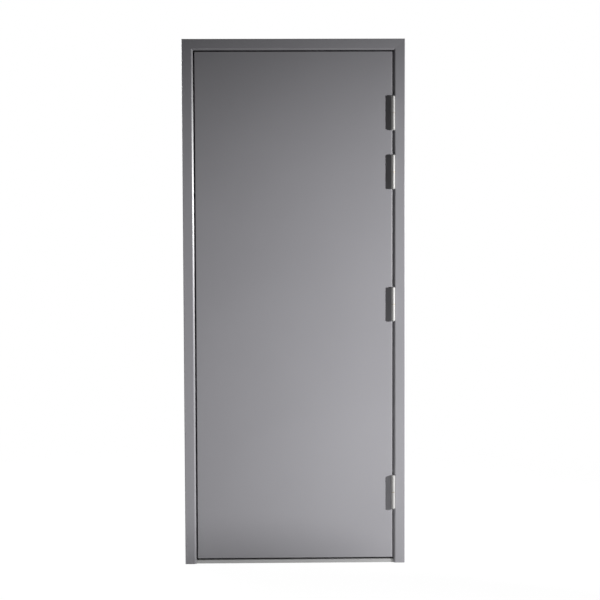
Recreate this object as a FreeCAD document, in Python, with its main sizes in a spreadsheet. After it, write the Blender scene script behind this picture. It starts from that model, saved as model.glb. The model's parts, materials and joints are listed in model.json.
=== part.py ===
"""Steel utility door: a pressed-steel frame on three sides, a low threshold, and a flush leaf
of two folded pans that swings on four lift-off hinges.

Millimetres. X runs along the wall, Y goes through it from the hinge face to the back, Z is up.
The origin is on the floor, in the middle of the threshold's underside.
"""
import FreeCAD
import Part
import Sketcher
import os
import re

doc = FreeCAD.newDocument("SteelUtilityDoor")

# Sizes that drive the door

SIZES = {
    # frame
    "frame_width": 880,       # over the outer edges of the jambs
    "frame_height": 2090,     # floor to the top of the head
    "frame_depth": 110,       # front face to rear face
    "frame_sheet": 1.5,
    "face_width": 45,         # front face, bevel included
    "bevel_width": 7.5,       # inner front edge, across the face
    "bevel_depth": 4.5,       # inner front edge, into the rebate
    "stop_height": 16,        # step of the stop beyond the rebate
    "stop_gap": 5,            # leaf's back to the stop
    "return_width": 15,       # bent-in edges on the wall side
    "bend_radius": 1,         # inside of the sheet's bends
    # threshold
    "sill_height": 15,        # front part, under the leaf
    "sill_setback": 10,       # behind the front faces of the jambs
    "sill_gap": 8,            # to the leaf's bottom
    "sill_sheet": 2,
    "sill_bend": 3,           # outside of its bends
    "sill_fit": 0.5,          # to the jambs, all round
    # leaf
    "leaf_thickness": 45,
    "leaf_gap": 5,            # to the jambs and the head
    "leaf_sheet": 1,
    "leaf_bend": 2,           # outside of the front pan's bends
    "back_lip": 6,            # edges of the back pan, tucked into the front pan
    # seal
    "seal_width": 8,
    "seal_inset": 6,          # from the rebate to the seal
    "seal_round": 3,
    "seal_clearance": 0.3,    # to the closed leaf
    # hinges
    "hinge_height": 127,
    "hinge_sheet": 3,
    "hinge_reach": 36,        # of the plates behind the front face
    "hinge_corner": 6,
    "hinge_fit": 1,           # round the plates in their windows
    "knuckle_diameter": 16,
    "pin_diameter": 10,
    "pin_clearance": 0.06,    # between the pin and the bores, all round
    "pin_offset": 9,          # pin's centre in front of the faces
    "pin_headroom": 2,        # above the pin, in the upper knuckle
    "washer_height": 1.6,
    "washer_inset": 0.5,      # washer's rim inside the knuckle's
    "button_height": 5,       # rounded end of each knuckle
    "button_rim": 1.5,        # straight part of that end
    "button_top": 4.5,        # radius of its flat top
    "plug_length": 8,         # solid part of the upper knuckle, below its end
    "hinge_first_drop": 242,  # leaf's top to the first hinge's middle
    "hinge_second_drop": 232,  # first hinge's middle to the second's
    "hinge_third_drop": 524,  # second hinge's middle to the third's
    "hinge_last_rise": 265,   # leaf's bottom to the last hinge's middle
    # plates behind the hinges
    "backer_sheet": 4,
    "backer_margin": 18,      # beyond the hinge plate, up and down
    "backer_fit": 1,          # to the back pan's edges
    # wall anchors
    "strap_width": 40,
    "strap_sheet": 3,
    "strap_leg": 25,
    "strap_hole": 14,
    "bolt_hole": 11,
    "anchor_rise": 130,       # floor to the lowest bolt
    "anchor_drop": 130,       # frame's top to the highest bolt
    # cutting blocks
    "overcut": 1,             # beyond what they cut
}

# Sizes that follow from them

FOLLOWING = {
    "side": "frame_width / 2",
    "front": "-frame_depth / 2",
    "rear": "frame_depth / 2",
    "rebate_depth": "leaf_thickness + stop_gap",
    "soffit": "face_width + stop_height",
    "outer_bend": "bend_radius + frame_sheet",
    "bevel_angle": "atan(bevel_depth / bevel_width)",
    "inner_angle": "atan(bevel_width / bevel_depth)",
    "leaf_side": "side - face_width - leaf_gap",
    "leaf_bottom": "sill_height + sill_gap",
    "leaf_overlap": "stop_height - leaf_gap",
    "sill_stop": "leaf_bottom + leaf_overlap",
    "leaf_top": "frame_height - face_width - leaf_gap",
    "leaf_height": "leaf_top - leaf_bottom",
    "plate_gap": "leaf_gap - (hinge_sheet - frame_sheet) - (hinge_sheet - leaf_sheet)",
    "pin_x": "side - face_width + frame_sheet - hinge_sheet - plate_gap / 2",
    "pin_y": "front - pin_offset",
    "knuckle_radius": "knuckle_diameter / 2",
    "pin_radius": "pin_diameter / 2",
    "knuckle_height": "(hinge_height - washer_height) / 2",
    "bolt_depth": "(rebate_depth + frame_depth) / 2",
    "seal_height": "stop_gap - seal_clearance",
    "seal_base": "leaf_bottom + seal_inset - leaf_gap",
    "bore_radius": "pin_radius + pin_clearance",
    "anchor_step": "(frame_height - anchor_rise - anchor_drop) / 3",
}

HINGES = {
    "first": "leaf_top - hinge_first_drop",
    "second": "leaf_top - hinge_first_drop - hinge_second_drop",
    "third": "leaf_top - hinge_first_drop - hinge_second_drop - hinge_third_drop",
    "fourth": "leaf_bottom + hinge_last_rise",
}

ANCHORS = {
    "first": "anchor_rise",
    "second": "anchor_rise + anchor_step",
    "third": "anchor_rise + 2 * anchor_step",
    "fourth": "anchor_rise + 3 * anchor_step",
}

sheet = doc.addObject("Spreadsheet::Sheet", "Sizes")
for row, (alias, size) in enumerate(SIZES.items(), start=1):
    sheet.set(f"A{row}", alias)
    sheet.set(f"B{row}", str(size))
    sheet.setAlias(f"B{row}", alias)
doc.recompute()

nodes = []


# Expressions over the sheet

def formula(text):
    """Turns the plain names in an expression into references to the sheet."""
    def swap(match):
        word = match.group()
        if word in FOLLOWING:
            return "(" + formula(FOLLOWING[word]) + ")"
        if word in SIZES:
            return "Sizes." + word
        return word
    return re.sub(r"[A-Za-z_]\w*", swap, text)


def number(text):
    return float(sheet.evalExpression(formula(text)))


def bind(item, **sizes):
    for size, text in sizes.items():
        item.setExpression(size, formula(text))


def place(item, x, y, z, axis=(0, 0, 1), angle=0):
    """Turns an item about an axis through its own origin, then moves it to bound coordinates."""
    turn = FreeCAD.Rotation(FreeCAD.Vector(*axis), angle)
    item.Placement = FreeCAD.Placement(FreeCAD.Vector(), turn)
    for letter, text in zip("xyz", (x, y, z)):
        item.setExpression(f"Placement.Base.{letter}", formula(text))


def keep(item, label):
    """Marks a finished piece, which is written under its label."""
    item.Label = label
    nodes.append(item)
    return item


# Sketches and features

def new_sketch(body, name, role, rise="0"):
    """An empty sketch on one of the body's own planes, raised along that plane's normal."""
    plane = next(item for item in body.Origin.OriginFeatures if item.Role == role)
    sketch = body.newObject("Sketcher::SketchObject", name)
    sketch.AttachmentSupport = [(plane, "")]
    sketch.MapMode = "FlatFace"
    sketch.setExpression("AttachmentOffset.Base.z", formula(rise))
    return sketch


def hold_point(sketch, item, point, kind, axis, text):
    """Holds a point of an item at a bound distance from the sketch's origin, or on its axis."""
    distance = number(text)
    if abs(distance) < 1e-9:
        sketch.addConstraint(Sketcher.Constraint("PointOnObject", item, point, axis))
    elif distance > 0:
        held = sketch.addConstraint(Sketcher.Constraint(kind, -1, 1, item, point, distance))
        sketch.setExpression(f"Constraints[{held}]", formula(text))
    else:
        held = sketch.addConstraint(Sketcher.Constraint(kind, item, point, -1, 1, -distance))
        sketch.setExpression(f"Constraints[{held}]", formula(f"-({text})"))


def outline(body, name, corners, role="XY_Plane", rise="0"):
    """A closed outline of straight lines whose corners are pairs of expressions."""
    sketch = new_sketch(body, name, role, rise)
    points = [FreeCAD.Vector(number(x), number(y), 0) for x, y in corners]
    for start, end in zip(points, points[1:] + points[:1]):
        sketch.addGeometry(Part.LineSegment(start, end))
    for line in range(len(points)):
        following = (line + 1) % len(points)
        sketch.addConstraint(Sketcher.Constraint("Coincident", line, 2, following, 1))
    for line, (x, y) in enumerate(corners):
        hold_point(sketch, line, 1, "DistanceX", -2, x)
        hold_point(sketch, line, 1, "DistanceY", -1, y)
    return sketch


def circle(body, name, x, y, radius, role):
    """A circle round a bound centre."""
    sketch = new_sketch(body, name, role)
    centre = FreeCAD.Vector(number(x), number(y), 0)
    sketch.addGeometry(Part.Circle(centre, FreeCAD.Vector(0, 0, 1), number(radius)))
    held = sketch.addConstraint(Sketcher.Constraint("Radius", 0, number(radius)))
    sketch.setExpression(f"Constraints[{held}]", formula(radius))
    hold_point(sketch, 0, 3, "DistanceX", -2, x)
    hold_point(sketch, 0, 3, "DistanceY", -1, y)
    return sketch


def pad(body, sketch, length):
    feature = body.newObject("PartDesign::Pad", sketch.Name + "Pad")
    feature.Profile = sketch
    bind(feature, Length=length)
    doc.recompute()
    return feature


def cut_through(body, sketch):
    """Cuts a sketch through the whole body, on both sides of its plane."""
    before = body.Shape.Volume
    feature = body.newObject("PartDesign::Pocket", sketch.Name + "Pocket")
    feature.Profile = sketch
    feature.Type = "ThroughAll"
    feature.SideType = "Symmetric"
    doc.recompute()
    if body.Shape.Volume >= before:
        raise RuntimeError(f"{feature.Name} cuts nothing")
    return feature


def round_edges(body, name, radius, wanted):
    """Rounds the edges of the body so far that the test picks."""
    base = body.Tip
    picked = [f"Edge{index}" for index, edge in enumerate(base.Shape.Edges, start=1) if wanted(edge)]
    if not picked:
        raise RuntimeError(f"{name} finds no edge")
    feature = body.newObject("PartDesign::Fillet", name)
    feature.Base = (base, picked)
    bind(feature, Radius=radius)
    doc.recompute()
    return feature


def along(axes, places):
    """A test for edges that run straight past the given places, in two of the axes x, y and z."""
    targets = [tuple(number(text) for text in spot) for spot in places]

    def wanted(edge):
        if len(edge.Vertexes) != 2:
            return False
        ends = [tuple(getattr(vertex.Point, axis) for axis in axes) for vertex in edge.Vertexes]
        return any(all(abs(end[i] - spot[i]) < 1e-6 for end in ends for i in (0, 1)) for spot in targets)
    return wanted


def hollow(body, name, thickness, opened):
    """Makes the body so far a shell, open at the faces that the test picks."""
    base = body.Tip
    picked = [f"Face{index}" for index, face in enumerate(base.Shape.Faces, start=1) if opened(face)]
    feature = body.newObject("PartDesign::Thickness", name)
    feature.Base = (base, picked)
    feature.Reversed = True
    feature.Join = 1
    bind(feature, Value=thickness)
    doc.recompute()
    return feature


def faces_along(direction):
    """A test for flat faces whose outward normal is one of the given directions."""
    def opened(face):
        if not isinstance(face.Surface, Part.Plane):
            return False
        normal = face.normalAt(0, 0)
        return any(normal.dot(FreeCAD.Vector(*way)) > 0.999 for way in direction)
    return opened


def block(name, x, y, z):
    """A box between bound coordinates, each given as a pair of expressions."""
    item = doc.addObject("Part::Box", name)
    for size, letter, (low, high) in zip(("Length", "Width", "Height"), "xyz", (x, y, z)):
        item.setExpression(size, formula(f"({high}) - ({low})"))
        item.setExpression(f"Placement.Base.{letter}", formula(low))
    return item


def bar(name, radius, length, x, y, z):
    """A round bar along X, starting at bound coordinates."""
    item = doc.addObject("Part::Cylinder", name)
    bind(item, Radius=radius, Height=length)
    place(item, x, y, z, (0, 1, 0), 90)
    return item


def cut_out(name, base, cutters):
    """The base without the cutters."""
    joined = doc.addObject("Part::MultiFuse", name + "Cutters")
    joined.Shapes = cutters
    item = doc.addObject("Part::Cut", name)
    item.Base = base
    item.Tool = joined
    return item


# Frame: one folded section, mitred at the top corners

def frame_section(name, length, start_mitre, end_mitre):
    """The folded sheet, X from the wall side inwards, Y from the front face back, Z along."""
    body = doc.addObject("PartDesign::Body", name)
    corners = [
        ("0", "return_width"),
        ("0", "0"),
        ("face_width - bevel_width", "0"),
        ("face_width", "bevel_depth"),
        ("face_width", "rebate_depth"),
        ("soffit", "rebate_depth"),
        ("soffit", "frame_depth"),
        ("0", "frame_depth"),
        ("0", "frame_depth - return_width"),
        ("frame_sheet", "frame_depth - return_width"),
        ("frame_sheet", "frame_depth - frame_sheet"),
        ("soffit - frame_sheet", "frame_depth - frame_sheet"),
        ("soffit - frame_sheet", "rebate_depth + frame_sheet"),
        ("face_width - frame_sheet", "rebate_depth + frame_sheet"),
        ("face_width - frame_sheet", "bevel_depth + frame_sheet * tan(inner_angle / 2)"),
        ("face_width - bevel_width - frame_sheet * tan(bevel_angle / 2)", "frame_sheet"),
        ("frame_sheet", "frame_sheet"),
        ("frame_sheet", "return_width"),
    ]
    outsides = [corners[i] for i in (1, 2, 3, 5, 6, 7, 13)]
    insides = [corners[i] for i in (4, 10, 11, 12, 14, 15, 16)]
    pad(body, outline(body, name + "Section", corners), length)
    round_edges(body, name + "OuterBends", "outer_bend", along("xy", outsides))
    round_edges(body, name + "InnerBends", "bend_radius", along("xy", insides))
    if start_mitre:
        corner = [("0", "0"), ("soffit", "soffit"), ("soffit", "0")]
        cut_through(body, outline(body, name + "StartMitre", corner, "XZ_Plane"))
    if end_mitre:
        corner = [("0", length), ("soffit", length), ("soffit", f"{length} - soffit")]
        cut_through(body, outline(body, name + "EndMitre", corner, "XZ_Plane"))
    return body


def bolt_holes(name, x):
    """Bars for the anchor bolts' holes, through the soffit that lies at x."""
    return [bar(f"{name}Bolt{rank.title()}", "bolt_hole / 2", "2 * stop_height", f"{x} - stop_height",
                "front + bolt_depth", height) for rank, height in ANCHORS.items()]


def hinge_span(middle, margin):
    """Heights of a hinge's lower and upper end, each moved out by a margin."""
    return f"{middle} - hinge_height / 2 - {margin}", f"{middle} + hinge_height / 2 + {margin}"


def make_frame():
    strike = frame_section("StrikeSection", "frame_height", False, True)
    place(strike, "-side", "front", "0")
    keep(cut_out("StrikeJamb", strike, bolt_holes("Strike", "soffit - side")), "strike_jamb")

    hinged = frame_section("HingeSection", "frame_height", True, False)
    place(hinged, "side", "front", "frame_height", (0, 1, 0), 180)
    windows = [block(f"FrameWindow{rank.title()}",
                     ("side - face_width - frame_sheet", "side - face_width + frame_sheet"),
                     ("front - hinge_fit", "front + hinge_reach + hinge_fit"),
                     hinge_span(middle, "hinge_fit"))
               for rank, middle in HINGES.items()]
    keep(cut_out("HingeJamb", hinged, bolt_holes("Hinge", "side - soffit") + windows), "hinge_jamb")

    head = frame_section("Head", "frame_width", True, True)
    place(head, "-side", "front", "frame_height", (0, 1, 0), 90)
    keep(head, "head")


# Threshold: a folded section with a stop behind the leaf, notched round the jambs' stops

def make_threshold():
    body = doc.addObject("PartDesign::Body", "SillSection")
    corners = [
        ("sill_setback", "0"),
        ("frame_depth", "0"),
        ("frame_depth", "sill_stop"),
        ("rebate_depth", "sill_stop"),
        ("rebate_depth", "sill_height"),
        ("sill_setback", "sill_height"),
    ]
    pad(body, outline(body, "SillOutline", corners), "frame_width - 2 * (face_width + sill_fit)")
    round_edges(body, "SillBends", "sill_bend", along("xy", [corners[i] for i in (2, 3, 5)]))
    hollow(body, "SillWalls", "sill_sheet", faces_along([(0, 0, 1), (0, 0, -1)]))
    place(body, "face_width + sill_fit - side", "front", "0", (1, 1, 1), 120)
    notches = [block(f"SillNotch{hand}", (low, high), ("front + rebate_depth - sill_fit", "rear + overcut"),
                     ("-overcut", "sill_stop + overcut"))
               for hand, low, high in (("Left", "-side", "soffit + sill_fit - side"),
                                       ("Right", "side - soffit - sill_fit", "side"))]
    keep(cut_out("Threshold", body, notches), "threshold")


# Seal: a rounded strip on the stop, four lengths

def seal_strip(name, length):
    """X across the strip, Y from its free side to its seat, Z along."""
    body = doc.addObject("PartDesign::Body", name)
    corners = [("0", "0"), ("seal_width", "0"), ("seal_width", "seal_height"), ("0", "seal_height")]
    pad(body, outline(body, name + "Section", corners), length)
    round_edges(body, name + "Bulb", "seal_round", along("xy", [("0", "0"), ("seal_width", "0")]))
    return body


def make_seals():
    """The head's and the threshold's lengths run the full width, the jambs' stand between them."""
    top = "frame_height - face_width - seal_inset"
    upright = f"{top} - seal_base - 2 * seal_width"
    across = "frame_width - 2 * (face_width + seal_inset)"
    left = "face_width + seal_inset - side"
    right = f"-({left}) - seal_width"
    bottom = "seal_base + seal_width"
    depth = "front + leaf_thickness + seal_clearance"
    for name, label, x in (("StrikeSeal", "strike_seal", left), ("HingeSeal", "hinge_seal", right)):
        strip = seal_strip(name, upright)
        place(strip, x, depth, bottom)
        keep(strip, label)
    for name, label, z in (("HeadSeal", "head_seal", top), ("SillSeal", "sill_seal", bottom)):
        strip = seal_strip(name, across)
        place(strip, left, depth, z, (0, 1, 0), 90)
        keep(strip, label)


# Leaf: a front pan with a shallow back pan tucked into it

def edges_at_depth(depth):
    """A test for straight edges that lie wholly at one depth of a pan."""
    target = number(depth)

    def wanted(edge):
        return all(abs(vertex.Point.y - target) < 1e-6 for vertex in edge.Vertexes)
    return wanted


def make_leaf():
    front = doc.addObject("PartDesign::Body", "FrontPanBody")
    across = "2 * leaf_side"
    corners = [("0", "0"), (across, "0"), (across, "leaf_thickness"), ("0", "leaf_thickness")]
    pad(front, outline(front, "FrontPanOutline", corners), "leaf_height")
    hollow(front, "FrontPanWalls", "leaf_sheet", faces_along([(0, 1, 0)]))
    round_edges(front, "FrontPanOuterBends", "leaf_bend", edges_at_depth("0"))
    round_edges(front, "FrontPanInnerBends", "leaf_bend - leaf_sheet", edges_at_depth("leaf_sheet"))
    place(front, "-leaf_side", "front", "leaf_bottom")
    windows = [block(f"LeafWindow{rank.title()}",
                     ("leaf_side - leaf_sheet", "leaf_side + overcut"),
                     ("front - hinge_fit", "front + hinge_reach + hinge_fit"),
                     hinge_span(middle, "hinge_fit"))
               for rank, middle in HINGES.items()]
    keep(cut_out("FrontPan", front, windows), "leaf_front_pan")

    back = doc.addObject("PartDesign::Body", "BackPan")
    across = "2 * (leaf_side - leaf_sheet)"
    corners = [("0", "0"), (across, "0"), (across, "back_lip"), ("0", "back_lip")]
    pad(back, outline(back, "BackPanOutline", corners), "leaf_height - 2 * leaf_sheet")
    hollow(back, "BackPanWalls", "leaf_sheet", faces_along([(0, -1, 0)]))
    place(back, "leaf_sheet - leaf_side", "front + leaf_thickness - back_lip", "leaf_bottom + leaf_sheet")
    keep(back, "leaf_back_pan")


# Hinges: two plates with a knuckle each, a pin and a washer

def revolve(body, sketch):
    """Turns a half outline of (radius, height) corners about Z."""
    feature = body.newObject("PartDesign::Revolution", sketch.Name + "Turned")
    feature.Profile = sketch
    feature.ReferenceAxis = (sketch, ["V_Axis"])
    feature.Angle = 360
    doc.recompute()
    return feature


def knuckle(open_end, closed_end, bore_end, way):
    """Half outline of a knuckle from its open end to the rounded end, which points up or down."""
    return [
        ("bore_radius", open_end),
        ("knuckle_radius", open_end),
        ("knuckle_radius", f"{closed_end} {way} button_rim"),
        ("button_top", f"{closed_end} {way} button_height"),
        ("0", f"{closed_end} {way} button_height"),
        ("0", bore_end),
        ("bore_radius", bore_end),
    ]


def hinge_plate(name, inner_face, neck_corners, knuckle_corners):
    """A plate with its knuckle. X and Y start at the pin's centre, Z at the hinge's lower end."""
    body = doc.addObject("PartDesign::Body", name)
    far = "pin_offset + hinge_reach"
    corners = neck_corners + [(far, "hinge_height"), (far, "0")]
    pad(body, outline(body, name + "Plate", corners, "YZ_Plane", inner_face), "hinge_sheet")
    round_edges(body, name + "Corners", "hinge_corner", along("yz", [(far, "hinge_height"), (far, "0")]))
    revolve(body, outline(body, name + "Knuckle", knuckle_corners, "XZ_Plane"))
    return body


def make_hinge_plates(rank, low):
    """The plate on the frame carries the lower knuckle, the one on the leaf the upper knuckle."""
    neck = "(knuckle_radius + bore_radius) / 2"
    clear = "knuckle_radius + hinge_fit"
    upper = "knuckle_height + washer_height"
    on_frame = hinge_plate(
        f"FramePlate{rank.title()}", "plate_gap / 2",
        [(neck, "0"), (neck, "knuckle_height"), (clear, "knuckle_height"), (clear, "hinge_height")],
        knuckle("knuckle_height", "0", "0", "-"))
    on_leaf = hinge_plate(
        f"LeafPlate{rank.title()}", "-plate_gap / 2 - hinge_sheet",
        [(clear, "0"), (clear, upper), (neck, upper), (neck, "hinge_height")],
        knuckle(upper, "hinge_height", "hinge_height - plug_length", "+"))
    for item, label in ((on_frame, f"{rank}_hinge_frame_plate"), (on_leaf, f"{rank}_hinge_leaf_plate")):
        place(item, "pin_x", "pin_y", low)
        keep(item, label)


def make_backers(rank, middle):
    """Plates behind the sheet, for the hinge screws."""
    span = hinge_span(middle, "backer_margin")
    depth = ("front + bevel_depth + outer_bend", "front + leaf_thickness - back_lip - backer_fit")
    rebate_back = "side - face_width + frame_sheet"
    on_frame = block(f"FrameBacker{rank.title()}",
                     (rebate_back, f"{rebate_back} + backer_sheet"), depth, span)
    keep(on_frame, f"{rank}_frame_backer")
    edge_back = "leaf_side - leaf_sheet"
    on_leaf = block(f"LeafBacker{rank.title()}", (f"{edge_back} - backer_sheet", edge_back), depth, span)
    keep(on_leaf, f"{rank}_leaf_backer")


def stack(name, inner, outer, start, end):
    """Four round pieces of one kind, one on each hinge, between two heights of the hinge."""
    pieces = []
    for rank, middle in HINGES.items():
        low = f"{middle} - hinge_height / 2 + {start}"
        solid = doc.addObject("Part::Cylinder", f"{name}{rank.title()}")
        bind(solid, Radius=outer, Height=f"{end} - ({start})")
        place(solid, "pin_x", "pin_y", low)
        if inner:
            hole = doc.addObject("Part::Cylinder", f"{name}Hole{rank.title()}")
            bind(hole, Radius=inner, Height=f"{end} - ({start})")
            place(hole, "pin_x", "pin_y", low)
            ring = doc.addObject("Part::Cut", f"{name}Ring{rank.title()}")
            ring.Base = solid
            ring.Tool = hole
            solid = ring
        pieces.append(solid)
    together = doc.addObject("Part::Compound", name)
    together.Links = pieces
    return together


def make_hinges():
    for rank, middle in HINGES.items():
        make_hinge_plates(rank, f"{middle} - hinge_height / 2")
        make_backers(rank, middle)
    keep(stack("Pins", None, "pin_radius", "0", "hinge_height - plug_length - pin_headroom"), "hinge_pins")
    keep(stack("Washers", "bore_radius", "knuckle_radius - washer_inset", "knuckle_height",
               "knuckle_height + washer_height"), "hinge_washers")


# Wall anchors: a bent strap across the throat, punched for the bolt

def anchor(name):
    """X from the wall side inwards, Y from the frame's front face back, Z up from the bolt."""
    body = doc.addObject("PartDesign::Body", name)
    front, back = "frame_sheet", "frame_depth - frame_sheet"
    web = "frame_sheet + strap_sheet"
    end = "frame_sheet + strap_leg"
    corners = [
        ("frame_sheet", f"{front} + strap_sheet"),
        (web, front),
        (end, front),
        (end, f"{front} + strap_sheet"),
        (web, f"{front} + strap_sheet"),
        (web, f"{back} - strap_sheet"),
        (end, f"{back} - strap_sheet"),
        (end, back),
        (web, back),
        ("frame_sheet", f"{back} - strap_sheet"),
    ]
    pad(body, outline(body, name + "Strap", corners, rise="-strap_width / 2"), "strap_width")
    cut_through(body, circle(body, name + "Hole", "bolt_depth", "0", "strap_hole / 2", "YZ_Plane"))
    return body


def make_anchors():
    for rank, height in ANCHORS.items():
        left = anchor(f"StrikeAnchor{rank.title()}")
        place(left, "-side", "front", height)
        keep(left, f"strike_anchor_{rank}")
        right = anchor(f"HingeAnchor{rank.title()}")
        place(right, "side", "front", height, (0, 1, 0), 180)
        keep(right, f"hinge_anchor_{rank}")


make_frame()
make_threshold()
make_seals()
make_leaf()
make_hinges()
make_anchors()
doc.recompute()

# Writing the pieces

for item in doc.Objects:
    if "Invalid" in item.State or "Error" in item.State:
        raise RuntimeError(f"{item.Name} did not build")
os.makedirs("parts", exist_ok=True)
for item in nodes:
    if item.Shape.isNull() or not item.Shape.isValid():
        raise RuntimeError(f"{item.Label} has no valid shape")
    item.Shape.exportStep(f"parts/{item.Label}.step")
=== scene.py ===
"""Looks of a steel utility door: its paint, hinges, seal, screws and welds, and a plain studio.

Metres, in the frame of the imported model: X along the wall, Y from the hinge face to the back, Z up.
"""

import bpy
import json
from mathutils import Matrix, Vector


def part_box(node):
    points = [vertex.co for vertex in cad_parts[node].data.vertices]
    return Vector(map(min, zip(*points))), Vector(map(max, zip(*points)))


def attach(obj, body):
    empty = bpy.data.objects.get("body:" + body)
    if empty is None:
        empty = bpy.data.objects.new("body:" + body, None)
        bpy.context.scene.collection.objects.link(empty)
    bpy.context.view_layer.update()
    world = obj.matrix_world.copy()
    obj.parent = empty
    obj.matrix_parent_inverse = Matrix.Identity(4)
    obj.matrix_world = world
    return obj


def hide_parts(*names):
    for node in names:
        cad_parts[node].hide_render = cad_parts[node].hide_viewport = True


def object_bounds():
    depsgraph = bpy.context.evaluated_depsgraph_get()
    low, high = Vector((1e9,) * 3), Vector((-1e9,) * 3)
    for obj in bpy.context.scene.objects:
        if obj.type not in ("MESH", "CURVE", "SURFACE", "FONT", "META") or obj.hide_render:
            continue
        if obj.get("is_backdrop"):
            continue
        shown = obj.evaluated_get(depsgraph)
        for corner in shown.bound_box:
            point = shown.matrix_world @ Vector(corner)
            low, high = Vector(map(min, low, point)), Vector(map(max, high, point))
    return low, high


bl_info = {
    "name": "Steel Utility Door",
    "version": (1, 0, 0),
    "blender": (4, 5, 0),
    "location": "View3D > Sidebar > Door",
    "description": "Finishes and small parts of a steel utility door in its frame",
    "category": "Object",
}

import json
import math

import bmesh
import bpy
from bpy.props import FloatProperty, FloatVectorProperty, IntProperty, PointerProperty
from bpy.types import Operator, Panel, PropertyGroup
from mathutils import Euler, Matrix, Vector

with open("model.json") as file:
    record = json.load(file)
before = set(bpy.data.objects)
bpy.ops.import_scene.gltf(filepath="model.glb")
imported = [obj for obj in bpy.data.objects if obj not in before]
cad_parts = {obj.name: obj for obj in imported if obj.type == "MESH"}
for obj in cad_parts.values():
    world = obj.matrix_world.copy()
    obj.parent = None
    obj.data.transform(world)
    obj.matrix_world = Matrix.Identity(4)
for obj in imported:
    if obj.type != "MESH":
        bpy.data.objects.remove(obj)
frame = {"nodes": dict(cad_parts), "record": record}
cad_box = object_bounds()

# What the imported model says

RECORD = frame["record"]
NODES = frame["nodes"]
NODE_SLOTS = {part["node"]: part["material_slot"] for part in RECORD["subparts"]}
SLOT_COLOURS = {entry["slot"]: tuple(entry["base_color"]) for entry in RECORD["materials"]}
HINGE_RANKS = ("first", "second", "third", "fourth")

# How far the brushed lines of the steel are drawn out in X, Y and Z

ROUND_THE_HINGES = (80, 80, 1)
ALONG_THE_THRESHOLD = (120, 1, 1)

# Directions

TO_THE_RIGHT = Vector((1, 0, 0))
INTO_THE_WALL = Vector((0, 1, 0))

# How far vertices may lie from the line that they are read from

MITRE_TOLERANCE = 0.00001
EDGE_TOLERANCE = 0.0001


# Settings

class PaintSettings(PropertyGroup):
    """The satin paint on the frame and the leaf."""
    frame_colour: FloatVectorProperty(
        name="Frame colour", description="Paint on the jambs and the head",
        subtype="COLOR", min=0, max=1, default=SLOT_COLOURS["frame_paint"])
    leaf_colour: FloatVectorProperty(
        name="Leaf colour", description="Paint on both faces of the leaf",
        subtype="COLOR", min=0, max=1, default=SLOT_COLOURS["leaf_paint"])
    roughness: FloatProperty(
        name="Roughness", description="Roughness of the dry paint", subtype="FACTOR",
        min=0, max=1, default=0.29)
    gloss: FloatProperty(
        name="Gloss", description="Strength of the paint's reflections", subtype="FACTOR",
        min=0, max=1, default=0.32)
    tone_spread: FloatProperty(
        name="Tone spread", description="How far the tone drifts to either side of the colour",
        subtype="FACTOR", min=0, max=1, default=0.035)
    drift_size: FloatProperty(
        name="Drift size", description="Width of the clouds in the paint's tone",
        unit="LENGTH", default=0.45)
    speckle_size: FloatProperty(
        name="Speckle size", description="Width of the specks in the paint's tone",
        unit="LENGTH", default=0.0012)
    patch_size: FloatProperty(
        name="Patch size", description="Width of the duller and shinier patches",
        unit="LENGTH", default=0.3)
    patch_spread: FloatProperty(
        name="Patch spread", description="How far the roughness of the patches goes to either side",
        subtype="FACTOR", min=0, max=1, default=0.015)
    peel_size: FloatProperty(
        name="Peel size", description="Distance between the bumps of the sprayed coat",
        unit="LENGTH", default=0.0035)
    peel_depth: FloatProperty(
        name="Peel depth", description="Depth of the bumps of the sprayed coat",
        unit="LENGTH", default=0.00004)
    face_flat: FloatProperty(
        name="Face flat", description="Width of the frame's faces between the bevel and the outer edge",
        unit="LENGTH", default=0.0375)
    face_lean: FloatProperty(
        name="Face lean", description="How far the folded faces of the frame lean in to the opening",
        subtype="ANGLE", default=math.radians(3.0))


class HardwareSettings(PropertyGroup):
    """The bare metals of the hinges and of what is hidden in the frame."""
    steel_colour: FloatVectorProperty(
        name="Steel colour", description="Satin stainless steel of the hinges",
        subtype="COLOR", min=0, max=1, default=SLOT_COLOURS["hinge_steel"])
    sill_colour: FloatVectorProperty(
        name="Threshold colour", description="Brushed stainless steel of the threshold",
        subtype="COLOR", min=0, max=1, default=SLOT_COLOURS["sill_steel"])
    steel_roughness: FloatProperty(
        name="Steel roughness", description="Roughness of the brushed steel", subtype="FACTOR",
        min=0, max=1, default=0.5)
    steel_shine: FloatProperty(
        name="Steel shine", description="Share of the brushed steel that reflects like bare metal",
        subtype="FACTOR", min=0, max=1, default=0.5)
    hinge_shade: FloatProperty(
        name="Hinge shade", description="Tone of the handled hinges as a share of the steel's colour",
        subtype="FACTOR", min=0, max=1, default=0.7)
    hinge_shine: FloatProperty(
        name="Hinge shine", description="Share of the handled hinges that reflects like bare metal",
        subtype="FACTOR", min=0, max=1, default=0.2)
    brass_colour: FloatVectorProperty(
        name="Brass colour", description="Washers between the knuckles",
        subtype="COLOR", min=0, max=1, default=SLOT_COLOURS["washer_brass"])
    brass_shade: FloatProperty(
        name="Brass shade", description="Tone of the tarnished washers as a share of their colour",
        subtype="FACTOR", min=0, max=1, default=0.3)
    zinc_colour: FloatVectorProperty(
        name="Zinc colour", description="Plating of the wall anchors",
        subtype="COLOR", min=0, max=1, default=SLOT_COLOURS["anchor_zinc"])
    zinc_shade: FloatProperty(
        name="Zinc shade", description="Tone of the dulled plating as a share of its colour",
        subtype="FACTOR", min=0, max=1, default=0.55)
    backer_colour: FloatVectorProperty(
        name="Backer colour", description="Rolled steel of the plates behind the hinges",
        subtype="COLOR", min=0, max=1, default=SLOT_COLOURS["backer_steel"])


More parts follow.
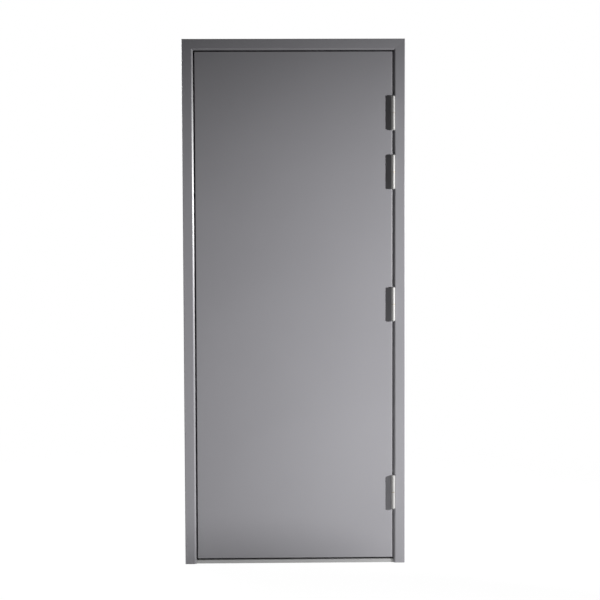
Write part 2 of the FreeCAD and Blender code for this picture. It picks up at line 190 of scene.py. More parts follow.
class SealSettings(PropertyGroup):
    """The rubber strip on the stop."""
    colour: FloatVectorProperty(
        name="Colour", description="Rubber of the seal",
        subtype="COLOR", min=0, max=1, default=SLOT_COLOURS["seal_rubber"])
    foot_height: FloatProperty(
        name="Foot height", description="Thickness of the flat foot under the bulb",
        unit="LENGTH", default=0.0012)
    bulb_inset: FloatProperty(
        name="Bulb inset", description="Step from the edge of the foot to the bulb",
        unit="LENGTH", default=0.0011)
    bulb_steps: IntProperty(
        name="Bulb steps", description="Straight steps round the bulb", min=4, default=14)


class ScrewSettings(PropertyGroup):
    """The screws that hold the hinge plates."""
    head_diameter: FloatProperty(
        name="Head diameter", description="Width of a screw's head", unit="LENGTH", default=0.0115)
    head_rise: FloatProperty(
        name="Head rise", description="Height of a head above its plate", unit="LENGTH", default=0.0006)
    socket_width: FloatProperty(
        name="Socket width", description="Width across the flats of the socket",
        unit="LENGTH", default=0.004)
    socket_sink: FloatProperty(
        name="Socket sink", description="Depth of the socket's cutter, in heights of the head",
        min=1, default=1.8)
    crown_share: FloatProperty(
        name="Crown share", description="Radius of a head's flat crown as a share of its diameter",
        subtype="FACTOR", min=0, max=0.5, default=0.36)
    edge_distance: FloatProperty(
        name="Edge distance", description="From the plate's rear edge to the outer screws",
        unit="LENGTH", default=0.0095)
    stagger: FloatProperty(
        name="Stagger", description="From the outer screws to the inner ones, towards the knuckle",
        unit="LENGTH", default=0.012)
    outer_span: FloatProperty(
        name="Outer span", description="Between the highest and the lowest screw of a plate",
        unit="LENGTH", default=0.098)
    inner_span: FloatProperty(
        name="Inner span", description="Between the two inner screws of a plate",
        unit="LENGTH", default=0.036)
    seed: IntProperty(
        name="Seed", description="How the sockets are turned", default=7)


class WeldSettings(PropertyGroup):
    """The welds inside the frame's top corners."""
    sheet: FloatProperty(
        name="Sheet", description="Thickness of the frame's steel", unit="LENGTH", default=0.0015)
    bead_radius: FloatProperty(
        name="Bead radius", description="Radius of a bead", unit="LENGTH", default=0.0022)
    bead_rise: FloatProperty(
        name="Bead rise", description="From the inner face of the steel to the middle of a bead",
        unit="LENGTH", default=0.0012)
    ripple_length: FloatProperty(
        name="Ripple length", description="From one ripple of a bead to the next",
        unit="LENGTH", default=0.003)
    ripple_share: FloatProperty(
        name="Ripple share", description="How far a ripple swells the bead", subtype="FACTOR",
        min=0, max=1, default=0.14)
    end_gap: FloatProperty(
        name="End gap", description="From a fold of the sheet to the end of a bead",
        unit="LENGTH", default=0.006)


class StageSettings(PropertyGroup):
    """The lamps, the floor and the camera."""
    key_power: FloatProperty(
        name="Key power", description="Power of the key lamp", unit="POWER", default=1974)
    key_place: FloatVectorProperty(
        name="Key place", description="Where the key lamp stands", subtype="TRANSLATION",
        default=(4.465, -2.555, 1.43))
    key_aim: FloatVectorProperty(
        name="Key aim", description="Where the key lamp points", subtype="TRANSLATION",
        default=(1.376, -0.055, 0.887))
    key_radius: FloatProperty(
        name="Key radius", description="Radius of the key lamp", unit="LENGTH", default=0.15)
    key_angle: FloatProperty(
        name="Key angle", description="Whole angle of the key lamp's cone", subtype="ANGLE",
        default=math.radians(46.0))
    flag_place: FloatVectorProperty(
        name="Flag place", description="Middle of the card that shades the foot of the door",
        subtype="TRANSLATION", default=(2.354, -1.548, 0.594))
    flag_radius: FloatProperty(
        name="Flag radius", description="Radius of that card", unit="LENGTH", default=0.233)
    fill_power: FloatProperty(
        name="Fill power", description="Power of the soft lamp low in front of the door",
        unit="POWER", default=3.86)
    fill_place: FloatVectorProperty(
        name="Fill place", description="Where that lamp stands", subtype="TRANSLATION",
        default=(0.3, -1.155, 0.3))
    fill_size: FloatProperty(
        name="Fill size", description="Side of that lamp", unit="LENGTH", default=0.7)
    side_power: FloatProperty(
        name="Side power", description="Power of the lamp that skims the door from the left",
        unit="POWER", default=43)
    side_place: FloatVectorProperty(
        name="Side place", description="Where that lamp stands", subtype="TRANSLATION",
        default=(-3.5, -0.2, 0.9))
    side_size: FloatProperty(
        name="Side size", description="Side of that lamp", unit="LENGTH", default=0.24)
    rear_power: FloatProperty(
        name="Rear power", description="Power of the soft lamp behind the door",
        unit="POWER", default=130)
    rear_place: FloatVectorProperty(
        name="Rear place", description="Where the soft lamp stands", subtype="TRANSLATION",
        default=(-2.6, 3.6, 2.6))
    rear_size: FloatProperty(
        name="Rear size", description="Side of the soft lamp", unit="LENGTH", default=2.2)
    ambient: FloatProperty(
        name="Ambient", description="Light from the room all round", min=0, default=0.05)
    floor_colour: FloatVectorProperty(
        name="Floor colour", description="Pale floor under the door", subtype="COLOR",
        min=0, max=1, default=(0.4, 0.4, 0.4))
    floor_reach: FloatProperty(
        name="Floor reach", description="From the door to where the floor has faded",
        unit="LENGTH", default=3.4)
    floor_glow: FloatProperty(
        name="Floor glow", description="How bright the floor looks to the camera without its shadows",
        min=0, default=1.11)
    floor_glow_share: FloatProperty(
        name="Floor glow share", description="Share of the floor's look that its shadows don't reach",
        subtype="FACTOR", min=0, max=1, default=0.88)
    fade_start: FloatProperty(
        name="Fade start", description="Share of its reach at which the floor starts to fade",
        subtype="FACTOR", min=0, max=1, default=0.5)
    fade_end: FloatProperty(
        name="Fade end", description="Share of its reach at which the floor has gone",
        subtype="FACTOR", min=0, max=1, default=0.95)
    camera_place: FloatVectorProperty(
        name="Camera place", description="Where the camera stands", subtype="TRANSLATION",
        default=(-0.1086, -6.9994, 1.5258))
    camera_yaw: FloatProperty(
        name="Camera yaw", description="Turn of the camera to the right", subtype="ANGLE",
        default=math.radians(1.084))
    camera_pitch: FloatProperty(
        name="Camera pitch", description="Tilt of the camera below the horizon", subtype="ANGLE",
        default=math.radians(3.841))
    camera_roll: FloatProperty(
        name="Camera roll", description="Turn of the camera about its own line of sight",
        subtype="ANGLE", default=math.radians(-0.2))
    camera_lens: FloatProperty(
        name="Camera lens", description="Focal length in millimetres", default=105.1)


# Node trees

def add_node(tree, kind, inputs=None, **settings):
    """A new node with its own settings, its inputs fed with plain values or other nodes' outputs."""
    made = tree.nodes.new(kind)
    for name, value in settings.items():
        setattr(made, name, value)
    for name, value in (inputs or {}).items():
        if isinstance(value, bpy.types.NodeSocket):
            tree.links.new(value, made.inputs[name])
        else:
            made.inputs[name].default_value = value
    return made


def math_node(tree, operation, first, second):
    """The result of one sum on plain values or other nodes' outputs."""
    return add_node(tree, "ShaderNodeMath", {0: first, 1: second}, operation=operation).outputs[0]


def new_material(name):
    """A new material, its node tree and its shader."""
    material = bpy.data.materials.new(name)
    material.use_nodes = True
    tree = material.node_tree
    return material, tree, tree.nodes["Principled BSDF"]


def noise(tree, size, detail=2.0, stretch=(1, 1, 1)):
    """Noise on the piece's own coordinates, about one cloud per size, drawn out by the stretch."""
    place = add_node(tree, "ShaderNodeTexCoord").outputs["Object"]
    scaled = add_node(tree, "ShaderNodeMapping", {
        "Vector": place, "Scale": [1 / part for part in stretch]})
    texture = add_node(tree, "ShaderNodeTexNoise", {
        "Vector": scaled.outputs["Vector"], "Scale": 1 / size, "Detail": detail})
    return texture.outputs["Fac"]


def spread(tree, factor, low, high):
    """Maps the middle of a noise, where most of it lies, onto a range of plain numbers."""
    mapped = add_node(tree, "ShaderNodeMapRange", {
        "Value": factor, "From Min": 0.3, "From Max": 0.7, "To Min": low, "To Max": high})
    return mapped.outputs["Result"]


def tones(tree, factor, colour, share):
    """A colour that drifts by a share of itself to either side."""
    ramp = add_node(tree, "ShaderNodeValToRGB", {"Fac": factor})
    for element, scale in zip(ramp.color_ramp.elements, (1 - share, 1 + share)):
        element.color = [*(part * scale for part in colour), 1]
    return ramp.outputs["Color"]


def bump(tree, shader, height, depth):
    """Lets a height show in the shading, deep by so many metres where it is 1."""
    made = add_node(tree, "ShaderNodeBump", {"Height": height, "Strength": 1.0, "Distance": depth})
    tree.links.new(made.outputs["Normal"], shader.inputs["Normal"])


# Finishes

def face_relief(tree, settings):
    """Height of the frame's leaning faces, from the bevel out to the edge."""
    place = add_node(tree, "ShaderNodeTexCoord").outputs["Object"]
    parts = add_node(tree, "ShaderNodeSeparateXYZ", {"Vector": place}).outputs
    corner = cad_box[1]
    across = math_node(tree, "ABSOLUTE", parts["X"], 0)
    sideways = math_node(tree, "SUBTRACT", across, corner.x - settings.face_flat)
    upwards = math_node(tree, "SUBTRACT", parts["Z"], corner.z - settings.face_flat)
    outwards = math_node(tree, "MAXIMUM", math_node(tree, "MAXIMUM", sideways, upwards), 0)
    return math_node(tree, "MULTIPLY", outwards, math.tan(settings.face_lean))


def painted_steel(name, colour, settings, leaning=False):
    """Satin paint: a slow drift and a fine speckle in its tone, and the peel of a sprayed coat."""
    material, tree, shader = new_material(name)
    drift = spread(tree, noise(tree, settings.drift_size, detail=3), low=0.15, high=0.85)
    speckle = spread(tree, noise(tree, settings.speckle_size, detail=1), low=-0.15, high=0.15)
    factor = math_node(tree, "ADD", drift, speckle)
    tree.links.new(tones(tree, factor, colour, settings.tone_spread), shader.inputs["Base Color"])
    patches = noise(tree, settings.patch_size, detail=3)
    rough = spread(tree, patches, settings.roughness - settings.patch_spread,
                   settings.roughness + settings.patch_spread)
    tree.links.new(rough, shader.inputs["Roughness"])
    shader.inputs["Specular IOR Level"].default_value = settings.gloss
    peel = noise(tree, settings.peel_size, detail=1.5)
    height = math_node(tree, "MULTIPLY", peel, settings.peel_depth)
    if leaning:
        height = math_node(tree, "ADD", height, face_relief(tree, settings))
    bump(tree, shader, height, depth=1.0)
    return material


def satin_steel(name, colour, rough, shine, grain):
    """Stainless steel with brushed lines, long in X, Y and Z by the shares of the grain."""
    material, tree, shader = new_material(name)
    shader.inputs["Metallic"].default_value = shine
    lines = noise(tree, size=0.0005, detail=3, stretch=grain)
    tree.links.new(tones(tree, lines, colour, share=0.09), shader.inputs["Base Color"])
    tree.links.new(spread(tree, lines, low=rough - 0.06, high=rough + 0.08), shader.inputs["Roughness"])
    bump(tree, shader, lines, depth=0.000006)
    return material


def dull_brass(name, colour):
    """Worn brass with soft stains."""
    material, tree, shader = new_material(name)
    shader.inputs["Metallic"].default_value = 1
    stain = noise(tree, size=0.004, detail=3)
    tree.links.new(tones(tree, stain, colour, share=0.18), shader.inputs["Base Color"])
    tree.links.new(spread(tree, stain, low=0.3, high=0.45), shader.inputs["Roughness"])
    bump(tree, shader, noise(tree, size=0.0006), depth=0.00001)
    return material


def zinc_plate(name, colour):
    """Plated steel with the patchy crystals of a zinc coat."""
    material, tree, shader = new_material(name)
    shader.inputs["Metallic"].default_value = 0.3
    place = add_node(tree, "ShaderNodeTexCoord").outputs["Object"]
    crystal_size = 0.009
    crystals = add_node(tree, "ShaderNodeTexVoronoi", {"Vector": place, "Scale": 1 / crystal_size})
    parts = add_node(tree, "ShaderNodeSeparateColor", {"Color": crystals.outputs["Color"]})
    shade = parts.outputs["Red"]
    tree.links.new(tones(tree, shade, colour, share=0.2), shader.inputs["Base Color"])
    tree.links.new(spread(tree, shade, low=0.55, high=0.7), shader.inputs["Roughness"])
    bump(tree, shader, noise(tree, size=0.0015), depth=0.00003)
    return material


def rolled_steel(name, colour):
    """Hot-rolled plate with streaks of scale along its length."""
    material, tree, shader = new_material(name)
    shader.inputs["Metallic"].default_value = 1
    streaks = noise(tree, size=0.004, detail=4, stretch=(1, 1, 9))
    tree.links.new(tones(tree, streaks, colour, share=0.3), shader.inputs["Base Color"])
    tree.links.new(spread(tree, streaks, low=0.42, high=0.62), shader.inputs["Roughness"])
    bump(tree, shader, noise(tree, size=0.002, detail=3), depth=0.00005)
    return material


def soft_rubber(name, colour):
    """Extruded rubber with a matt bloom and a fine grain."""
    material, tree, shader = new_material(name)
    bloom = noise(tree, size=0.03, detail=4)
    tree.links.new(tones(tree, bloom, colour, share=0.3), shader.inputs["Base Color"])
    tree.links.new(spread(tree, bloom, low=0.55, high=0.75), shader.inputs["Roughness"])
    bump(tree, shader, noise(tree, size=0.0008), depth=0.00004)
    return material


# Meshes

def finish_slot(slot, material):
    """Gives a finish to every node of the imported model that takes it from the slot."""
    for node, named in NODE_SLOTS.items():
        if named == slot:
            NODES[node].data.materials.clear()
            NODES[node].data.materials.append(material)


def add_piece(name, mesh, material=None):
    """A finished piece at the origin, with its place in its mesh."""
    piece = bpy.data.objects.new(name, mesh)
    bpy.context.scene.collection.objects.link(piece)
    if material:
        mesh.materials.append(material)
    return piece


def ring_mesh(name, profile, left, right, bottom, top, seat):
    """A closed profile led round an upright rectangle, with mitred corners.

    The profile's points are (inwards from the outer edge, forwards from the seat).
    """
    shape = bmesh.new()
    stations = []
    for inwards, forwards in profile:
        depth = seat - forwards
        stations.append([shape.verts.new(spot) for spot in (
            (left + inwards, depth, bottom + inwards), (left + inwards, depth, top - inwards),
            (right - inwards, depth, top - inwards), (right - inwards, depth, bottom + inwards))])
    for one, other in zip(stations, stations[1:] + stations[:1]):
        for step, corner in enumerate(one):
            following = (step + 1) % len(one)
            shape.faces.new((corner, one[following], other[following], other[step]))
    bmesh.ops.recalc_face_normals(shape, faces=shape.faces)
    mesh = bpy.data.meshes.new(name)
    shape.to_mesh(mesh)
    shape.free()
    mesh.shade_smooth()
    crease = math.radians(35)
    mesh.set_sharp_from_angle(angle=crease)
    return mesh


# Geometry node trees

def new_tree(name, inputs):
    """A modifier tree with a geometry input and output, and named inputs for its sizes."""
    tree = bpy.data.node_groups.new(name, "GeometryNodeTree")
    tree.interface.new_socket("Geometry", in_out="INPUT", socket_type="NodeSocketGeometry")
    tree.interface.new_socket("Geometry", in_out="OUTPUT", socket_type="NodeSocketGeometry")
    for label, kind in inputs.items():
        tree.interface.new_socket(label, in_out="INPUT", socket_type=kind)
    return tree, tree.nodes.new("NodeGroupInput").outputs, tree.nodes.new("NodeGroupOutput").inputs


def close_tree(tree, geometry, material, end):
    """Makes the instances real, gives them their material and leads them out of the tree."""
    real = add_node(tree, "GeometryNodeRealizeInstances", {"Geometry": geometry})
    coated = add_node(tree, "GeometryNodeSetMaterial", {
        "Geometry": real.outputs["Geometry"], "Material": material})
    tree.links.new(coated.outputs["Geometry"], end["Geometry"])


def grow(name, seed_mesh, tree, values):
    """Runs a tree on a mesh and keeps what it makes as a plain mesh."""
    source = add_piece(name + "_source", seed_mesh)
    modifier = source.modifiers.new(tree.name, "NODES")
    modifier.node_group = tree
    for item in tree.interface.items_tree:
        if item.in_out == "INPUT" and item.name in values:
            modifier[item.identifier] = values[item.name]
    ready = source.evaluated_get(bpy.context.evaluated_depsgraph_get())
    mesh = bpy.data.meshes.new_from_object(ready)
    bpy.data.objects.remove(source)
    return add_piece(name, mesh)


def screw_tree():
    """A raised head with a hexagon socket on every point, turned at random about its own axis."""
    tree, start, end = new_tree("hinge_screws", {
        "Head Diameter": "NodeSocketFloat", "Head Rise": "NodeSocketFloat",
        "Crown Share": "NodeSocketFloat", "Socket Width": "NodeSocketFloat",
        "Socket Sink": "NodeSocketFloat", "Facing": "NodeSocketVector",
        "Seed": "NodeSocketInt", "Material": "NodeSocketMaterial"})
    radius = math_node(tree, "DIVIDE", start["Head Diameter"], 2)
    crown = math_node(tree, "MULTIPLY", start["Head Diameter"], start["Crown Share"])
    head = add_node(tree, "GeometryNodeMeshCone", {
        "Vertices": 24, "Radius Top": crown, "Radius Bottom": radius, "Depth": start["Head Rise"]})
    flats = 6
    corner = math_node(tree, "DIVIDE", start["Socket Width"], 2 * math.cos(math.pi / flats))
    sunk = math_node(tree, "MULTIPLY", start["Head Rise"], start["Socket Sink"])
    socket = add_node(tree, "GeometryNodeMeshCylinder", {
        "Vertices": flats, "Radius": corner, "Depth": sunk})
    lift = add_node(tree, "ShaderNodeCombineXYZ", {"Z": start["Head Rise"]})
    raised = add_node(tree, "GeometryNodeTransform", {
        "Geometry": socket.outputs["Mesh"], "Translation": lift.outputs["Vector"]})
    bored = add_node(tree, "GeometryNodeMeshBoolean", {
        "Mesh 1": head.outputs["Mesh"], "Mesh 2": raised.outputs["Geometry"]},
        operation="DIFFERENCE", solver="EXACT")
    placed = add_node(tree, "GeometryNodeInstanceOnPoints", {
        "Points": start["Geometry"], "Instance": bored.outputs["Mesh"], "Rotation": start["Facing"]})
    turn = add_node(tree, "FunctionNodeRandomValue", {
        "Max": (0, 0, 2 * math.pi / flats), "Seed": start["Seed"]}, data_type="FLOAT_VECTOR")
    turned = add_node(tree, "GeometryNodeRotateInstances", {
        "Instances": placed.outputs["Instances"], "Rotation": turn.outputs["Value"]})
    close_tree(tree, turned.outputs["Instances"], start["Material"], end)
    return tree


def bead_tree():
    """A rippled bead along every line."""
    tree, start, end = new_tree("weld_beads", {
        "Bead Radius": "NodeSocketFloat", "Ripple Length": "NodeSocketFloat",
        "Ripple Share": "NodeSocketFloat", "Material": "NodeSocketMaterial"})
    lines = add_node(tree, "GeometryNodeMeshToCurve", {"Mesh": start["Geometry"]})
    steps_per_ripple = 6
    step = math_node(tree, "DIVIDE", start["Ripple Length"], steps_per_ripple)
    fine = add_node(tree, "GeometryNodeResampleCurve", {
        "Curve": lines.outputs["Curve"], "Length": step}, mode="LENGTH")
    along = add_node(tree, "GeometryNodeSplineParameter").outputs["Length"]
    turns = math_node(tree, "DIVIDE", along, start["Ripple Length"])
    wave = math_node(tree, "SINE", math_node(tree, "MULTIPLY", turns, 2 * math.pi), 0)
    swell = math_node(tree, "ADD", math_node(tree, "MULTIPLY", wave, start["Ripple Share"]), 1)
    ring = add_node(tree, "GeometryNodeCurvePrimitiveCircle", {
        "Resolution": 10, "Radius": start["Bead Radius"]})
    bead = add_node(tree, "GeometryNodeCurveToMesh", {
        "Curve": fine.outputs["Curve"], "Profile Curve": ring.outputs["Curve"],
        "Scale": swell, "Fill Caps": True})
    close_tree(tree, bead.outputs["Mesh"], start["Material"], end)
    return tree


# Where the welds and the screws go

def corner_lines(settings):
    """Lines for the welds: along the mitred joints, on the inside of the folded sheet."""
    low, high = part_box("head")
    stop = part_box("head_seal")[1].y - low.y
    depth = high.y - low.y
    corners = [(vertex.co.x - low.x, vertex.co.y - low.y) for vertex in NODES["head"].data.vertices
               if abs(vertex.co.x - low.x - (high.z - vertex.co.z)) < MITRE_TOLERANCE]
    soffit = max(inwards for inwards, back in corners)
    rebate = max(inwards for inwards, back in corners if back < stop / 2)
    gap = settings.end_gap
    sunk = settings.sheet + settings.bead_rise
    runs = (
        ((gap, sunk), (rebate - 2 * gap, sunk)),
        ((rebate - sunk, 2 * gap), (rebate - sunk, stop - gap)),
        ((soffit - sunk, stop + gap), (soffit - sunk, depth - gap)),
        ((gap, depth - sunk), (soffit - gap, depth - sunk)),
    )
    points = []
    for run in runs:
        for edge, way in ((low.x, 1), (high.x, -1)):
            points += [(edge + way * inwards, low.y + back, high.z - inwards) for inwards, back in run]
    mesh = bpy.data.meshes.new("corner_lines")
    mesh.from_pydata(points, [(first, first + 1) for first in range(0, len(points), 2)], [])
    return mesh


def plate_faces(node):
    """Where the flat of a hinge plate lies: its two faces in X, its rear edge and its middle height."""
    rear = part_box(node)[1].y
    edge = [vertex.co for vertex in NODES[node].data.vertices if vertex.co.y > rear - EDGE_TOLERANCE]
    across = [spot.x for spot in edge]
    heights = [spot.z for spot in edge]
    return min(across), max(across), rear, (min(heights) + max(heights)) / 2


def screw_spots(plates, settings, bare_face):
    """Points on the bare faces of hinge plates, in a staggered row of four on each."""
    spots = []
    for node in plates:
        low_face, high_face, rear, middle = plate_faces(node)
        face = bare_face(low_face, high_face)
        outer = rear - settings.edge_distance
        inner = outer - settings.stagger
        for span, depth in ((settings.outer_span, outer), (settings.inner_span, inner)):
            for side in (-1, 1):
                spots.append((face, depth, middle + side * span / 2))
    mesh = bpy.data.meshes.new("screw_spots")
    mesh.from_pydata(spots, [], [])
    return mesh


# Operators

class DOOR_OT_paint_steel(Operator):
    """Paints the frame and the leaf"""
    bl_idname = "door.paint_steel"
    bl_label = "Paint frame and leaf"

    def execute(self, context):
        paint = context.scene.door_paint
        finish_slot("frame_paint", painted_steel(
            "frame_paint_finish", paint.frame_colour, paint, leaning=True))
        finish_slot("leaf_paint", painted_steel("leaf_paint_finish", paint.leaf_colour, paint))
        return {"FINISHED"}


class DOOR_OT_finish_hinges(Operator):
    """Gives the hinges their brushed steel and their brass washers"""
    bl_idname = "door.finish_hinges"
    bl_label = "Finish hinges"

    def execute(self, context):
        metal = context.scene.door_hardware
        dulled = [part * metal.hinge_shade for part in metal.steel_colour]
        finish_slot("hinge_steel", satin_steel(
            "hinge_steel_finish", dulled, metal.steel_roughness, metal.hinge_shine, ROUND_THE_HINGES))
        tarnished = [part * metal.brass_shade for part in metal.brass_colour]
        finish_slot("washer_brass", dull_brass("washer_brass_finish", tarnished))
        return {"FINISHED"}


class DOOR_OT_finish_threshold(Operator):
    """Gives the threshold its brushed steel"""
    bl_idname = "door.finish_threshold"
    bl_label = "Finish threshold"

    def execute(self, context):
        metal = context.scene.door_hardware
        finish_slot("sill_steel", satin_steel(
            "sill_steel_finish", metal.sill_colour, metal.steel_roughness, metal.steel_shine,
            ALONG_THE_THRESHOLD))
        return {"FINISHED"}


class DOOR_OT_finish_fixings(Operator):
    """Gives the wall anchors and the plates behind the hinges their bare metals"""
    bl_idname = "door.finish_fixings"
    bl_label = "Finish anchors and backers"

    def execute(self, context):
        metal = context.scene.door_hardware
        dulled = [part * metal.zinc_shade for part in metal.zinc_colour]
        finish_slot("anchor_zinc", zinc_plate("anchor_zinc_finish", dulled))
        finish_slot("backer_steel", rolled_steel("backer_steel_finish", metal.backer_colour))
        return {"FINISHED"}


class DOOR_OT_fit_seal(Operator):
    """Leads one rubber strip round the stop, in place of its four plain lengths"""
    bl_idname = "door.fit_seal"
    bl_label = "Fit seal"

    def execute(self, context):
        settings = context.scene.door_seal
        sill_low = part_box("sill_seal")[0]
        head_low, head_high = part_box("head_seal")
        width = head_high.z - head_low.z
        half = width / 2 - settings.bulb_inset
        rise = head_high.y - head_low.y - settings.foot_height
        profile = [(0, 0), (0, settings.foot_height)]
        for step in range(settings.bulb_steps + 1):
            angle = math.pi * step / settings.bulb_steps
            inwards = width / 2 - half * math.cos(angle)
            profile.append((inwards, settings.foot_height + rise * math.sin(angle)))
        profile += [(width, settings.foot_height), (width, 0)]
        mesh = ring_mesh(
            "frame_seal", profile, left=head_low.x, right=head_high.x,
            bottom=sill_low.z, top=head_high.z, seat=head_high.y)
        seal = add_piece("frame_seal", mesh, soft_rubber("seal_rubber_finish", settings.colour))
        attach(seal, "frame")
        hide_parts("strike_seal", "head_seal", "hinge_seal", "sill_seal")
        return {"FINISHED"}


class DOOR_OT_fit_screws(Operator):
    """Sets four screws in each plate of the hinges"""
    bl_idname = "door.fit_screws"
    bl_label = "Fit hinge screws"

    def execute(self, context):
        settings = context.scene.door_screws
        metal = context.scene.door_hardware
        tree = screw_tree()
        coat = satin_steel(
            "screw_steel_finish", metal.steel_colour, metal.steel_roughness, metal.steel_shine,
            ROUND_THE_HINGES)
        quarter = math.pi / 2
        for body, bare_face, tilt in (("frame", min, -quarter), ("leaf", max, quarter)):
            plates = [f"{rank}_hinge_{body}_plate" for rank in HINGE_RANKS]
            screws = grow(f"{body}_hinge_screws", screw_spots(plates, settings, bare_face), tree, {
                "Head Diameter": settings.head_diameter, "Head Rise": settings.head_rise,
                "Crown Share": settings.crown_share, "Socket Width": settings.socket_width,
                "Socket Sink": settings.socket_sink, "Facing": (0, tilt, 0),
                "Seed": settings.seed, "Material": coat})
            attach(screws, body)
        return {"FINISHED"}


class DOOR_OT_lay_welds(Operator):
    """Lays the weld beads inside the frame's top corners"""
    bl_idname = "door.lay_welds"
    bl_label = "Lay corner welds"

    def execute(self, context):
        settings = context.scene.door_welds
        paint = context.scene.door_paint
        coat = painted_steel("weld_paint_finish", paint.frame_colour, paint)
        welds = grow("corner_welds", corner_lines(settings), bead_tree(), {
            "Bead Radius": settings.bead_radius, "Ripple Length": settings.ripple_length,
            "Ripple Share": settings.ripple_share, "Material": coat})
        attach(welds, "frame")
        return {"FINISHED"}


# Stage

def seen_rays(tree, of_mirrors):
    """1 for what the camera sees, and for what shiny and clear surfaces see of it, times a share."""
    path = add_node(tree, "ShaderNodeLightPath").outputs
    mirrored = math_node(tree, "MAXIMUM", path["Is Glossy Ray"], path["Is Transmission Ray"])
    shown = math_node(tree, "MULTIPLY", mirrored, of_mirrors)
    return math_node(tree, "MAXIMUM", path["Is Camera Ray"], shown)


def make_world(scene, settings):
    """A grey room that looks white behind the door."""
    world = bpy.data.worlds.new("studio")
    scene.world = world
    world.use_nodes = True
    tree = world.node_tree
    toward = add_node(tree, "ShaderNodeTexCoord").outputs["Generated"]
    depth = add_node(tree, "ShaderNodeSeparateXYZ", {"Vector": toward}).outputs["Y"]
    behind = add_node(tree, "ShaderNodeMapRange", {
        "Value": depth, "From Min": 0.0, "From Max": 0.5}).outputs["Result"]
    level = add_node(tree, "ShaderNodeMapRange", {
        "Value": seen_rays(tree, of_mirrors=behind), "To Min": settings.ambient, "To Max": 1.0})
    tree.links.new(level.outputs["Result"], tree.nodes["Background"].inputs["Strength"])
    tree.nodes["Background"].inputs["Color"].default_value = (1, 1, 1, 1)


def floor_finish(settings):
    """A pale floor that looks white where it is lit, keeps the shadow and fades out far away."""
    material, tree, shader = new_material("studio_floor_finish")
    shader.inputs["Base Color"].default_value = (*settings.floor_colour, 1)
    shader.inputs["Roughness"].default_value = 0.9
    glow = add_node(tree, "ShaderNodeEmission", {"Strength": settings.floor_glow})
    share = math_node(tree, "MULTIPLY", seen_rays(tree, of_mirrors=1.0), settings.floor_glow_share)
    lit = add_node(tree, "ShaderNodeMixShader", {
        0: share, 1: shader.outputs["BSDF"], 2: glow.outputs["Emission"]})
    place = add_node(tree, "ShaderNodeTexCoord").outputs["Object"]
    away = add_node(tree, "ShaderNodeVectorMath", {0: place}, operation="LENGTH").outputs["Value"]
    faded = add_node(tree, "ShaderNodeMapRange", {
        "Value": away, "From Min": settings.floor_reach * settings.fade_start,
        "From Max": settings.floor_reach * settings.fade_end},
        interpolation_type="SMOOTHSTEP").outputs["Result"]
    clear = add_node(tree, "ShaderNodeBsdfTransparent")
    whole = add_node(tree, "ShaderNodeMixShader", {
        0: faded, 1: lit.outputs["Shader"], 2: clear.outputs["BSDF"]})
    tree.links.new(whole.outputs["Shader"], tree.nodes["Material Output"].inputs["Surface"])
    return material


def disc_mesh(name, radius, place=Matrix()):
    """A flat round sheet."""
    disc = bmesh.new()
    bmesh.ops.create_circle(disc, cap_ends=True, segments=64, radius=radius, matrix=place)
    mesh = bpy.data.meshes.new(name)
    disc.to_mesh(mesh)
    disc.free()
    return mesh


def make_floor(settings):
    """A round floor that fades into the background."""
    mesh = disc_mesh("studio_floor", settings.floor_reach)
    floor = add_piece("studio_floor", mesh, floor_finish(settings))
    floor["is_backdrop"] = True


def make_flag(settings):
    """A round card across the lower edge of the key lamp's beam, of which only the shade is seen."""
    middle = Vector(settings.flag_place)
    facing = (Vector(settings.key_place) - middle).to_track_quat("Z", "Y").to_matrix().to_4x4()
    material, _, shader = new_material("studio_flag_finish")
    matt_black = (0.02, 0.02, 0.02, 1)
    shader.inputs["Base Color"].default_value = matt_black
    mesh = disc_mesh("studio_flag", settings.flag_radius, Matrix.Translation(middle) @ facing)
    flag = add_piece("studio_flag", mesh, material)
    flag.visible_camera = False
    flag.visible_glossy = False
    flag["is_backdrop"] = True


def add_lamp(scene, name, kind, place, aim, power, mirrored=True):
    """A lamp that points from a place at its aim.

    The camera doesn't see it, and shiny surfaces do only if it is mirrored.
    """
    lamp = bpy.data.objects.new(name, bpy.data.lights.new(name, kind))
    lamp.data.energy = power
    lamp.location = place
    lamp.rotation_euler = (Vector(aim) - Vector(place)).to_track_quat("-Z", "Y").to_euler()
    lamp.visible_camera = False
    lamp.visible_glossy = mirrored
    scene.collection.objects.link(lamp)
    return lamp.data


def make_lamps(scene, settings):
    """The key lamp, the fill in front, the side lamp and the soft lamp behind."""
    key = add_lamp(
        scene, "key_lamp", "SPOT", settings.key_place, settings.key_aim, settings.key_power)
    key.shadow_soft_size = settings.key_radius
    key.spot_size = settings.key_angle
    key.spot_blend = 1
    ahead = Vector(settings.fill_place) + INTO_THE_WALL
    fill = add_lamp(
        scene, "fill_lamp", "AREA", settings.fill_place, ahead, settings.fill_power, mirrored=False)
    fill.size = settings.fill_size
    across = Vector(settings.side_place) + TO_THE_RIGHT
    side = add_lamp(
        scene, "side_lamp", "AREA", settings.side_place, across, settings.side_power, mirrored=False)
    side.size = settings.side_size
    low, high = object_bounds()
    middle = (low + high) / 2
    rear = add_lamp(
        scene, "rear_lamp", "AREA", settings.rear_place, middle, settings.rear_power)
    rear.size = settings.rear_size


def make_camera(scene, settings):
    """The camera at the photo's place, turned, tilted and rolled in that order."""
    camera = bpy.data.objects.new("photo_camera", bpy.data.cameras.new("photo_camera"))
    camera.data.lens = settings.camera_lens
    camera.location = settings.camera_place
    heading = Euler((0, 0, -settings.camera_yaw)).to_matrix()
    tilt = Euler((math.pi / 2 - settings.camera_pitch, 0, 0)).to_matrix()
    roll = Euler((0, 0, settings.camera_roll)).to_matrix()
    camera.rotation_euler = (heading @ tilt @ roll).to_euler()
    scene.collection.objects.link(camera)
    scene.camera = camera


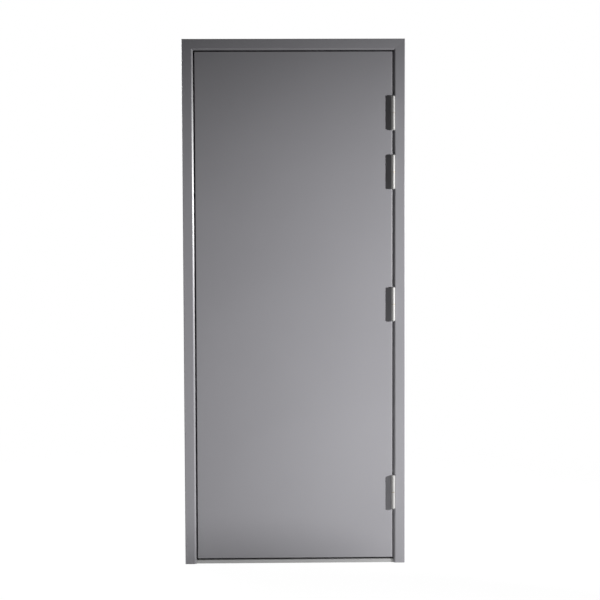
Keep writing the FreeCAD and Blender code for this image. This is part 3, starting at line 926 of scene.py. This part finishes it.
class DOOR_OT_build_stage(Operator):
    """Sets up the floor, the lamps with their flag, the room and the camera"""
    bl_idname = "door.build_stage"
    bl_label = "Build stage"

    def execute(self, context):
        scene = context.scene
        scene.view_settings.view_transform = "Standard"
        make_world(scene, scene.door_stage)
        make_floor(scene.door_stage)
        make_flag(scene.door_stage)
        make_lamps(scene, scene.door_stage)
        make_camera(scene, scene.door_stage)
        return {"FINISHED"}


# Panel and registration

class DOOR_PT_steps(Panel):
    """Lists the steps that dress the door"""
    bl_label = "Steel utility door"
    bl_idname = "DOOR_PT_steps"
    bl_space_type = "VIEW_3D"
    bl_region_type = "UI"
    bl_category = "Door"

    def draw(self, context):
        for step in STEPS:
            self.layout.operator(step.bl_idname)


SETTINGS = {
    "door_paint": PaintSettings,
    "door_hardware": HardwareSettings,
    "door_seal": SealSettings,
    "door_screws": ScrewSettings,
    "door_welds": WeldSettings,
    "door_stage": StageSettings,
}

STEPS = (
    DOOR_OT_paint_steel,
    DOOR_OT_finish_hinges,
    DOOR_OT_finish_threshold,
    DOOR_OT_finish_fixings,
    DOOR_OT_fit_seal,
    DOOR_OT_fit_screws,
    DOOR_OT_lay_welds,
    DOOR_OT_build_stage,
)


def register():
    for settings in SETTINGS.values():
        bpy.utils.register_class(settings)
    for step in (*STEPS, DOOR_PT_steps):
        bpy.utils.register_class(step)
    for name, settings in SETTINGS.items():
        setattr(bpy.types.Scene, name, PointerProperty(type=settings))


def unregister():
    for name in SETTINGS:
        delattr(bpy.types.Scene, name)
    for kind in (DOOR_PT_steps, *reversed(STEPS), *SETTINGS.values()):
        bpy.utils.unregister_class(kind)


def main():
    """Dresses the door and sets up its stage."""
    register()
    bpy.ops.door.paint_steel()
    bpy.ops.door.finish_hinges()
    bpy.ops.door.finish_threshold()
    bpy.ops.door.finish_fixings()
    bpy.ops.door.fit_seal()
    bpy.ops.door.fit_screws()
    bpy.ops.door.lay_welds()
    bpy.ops.door.build_stage()


if __name__ == "__main__":
    main()
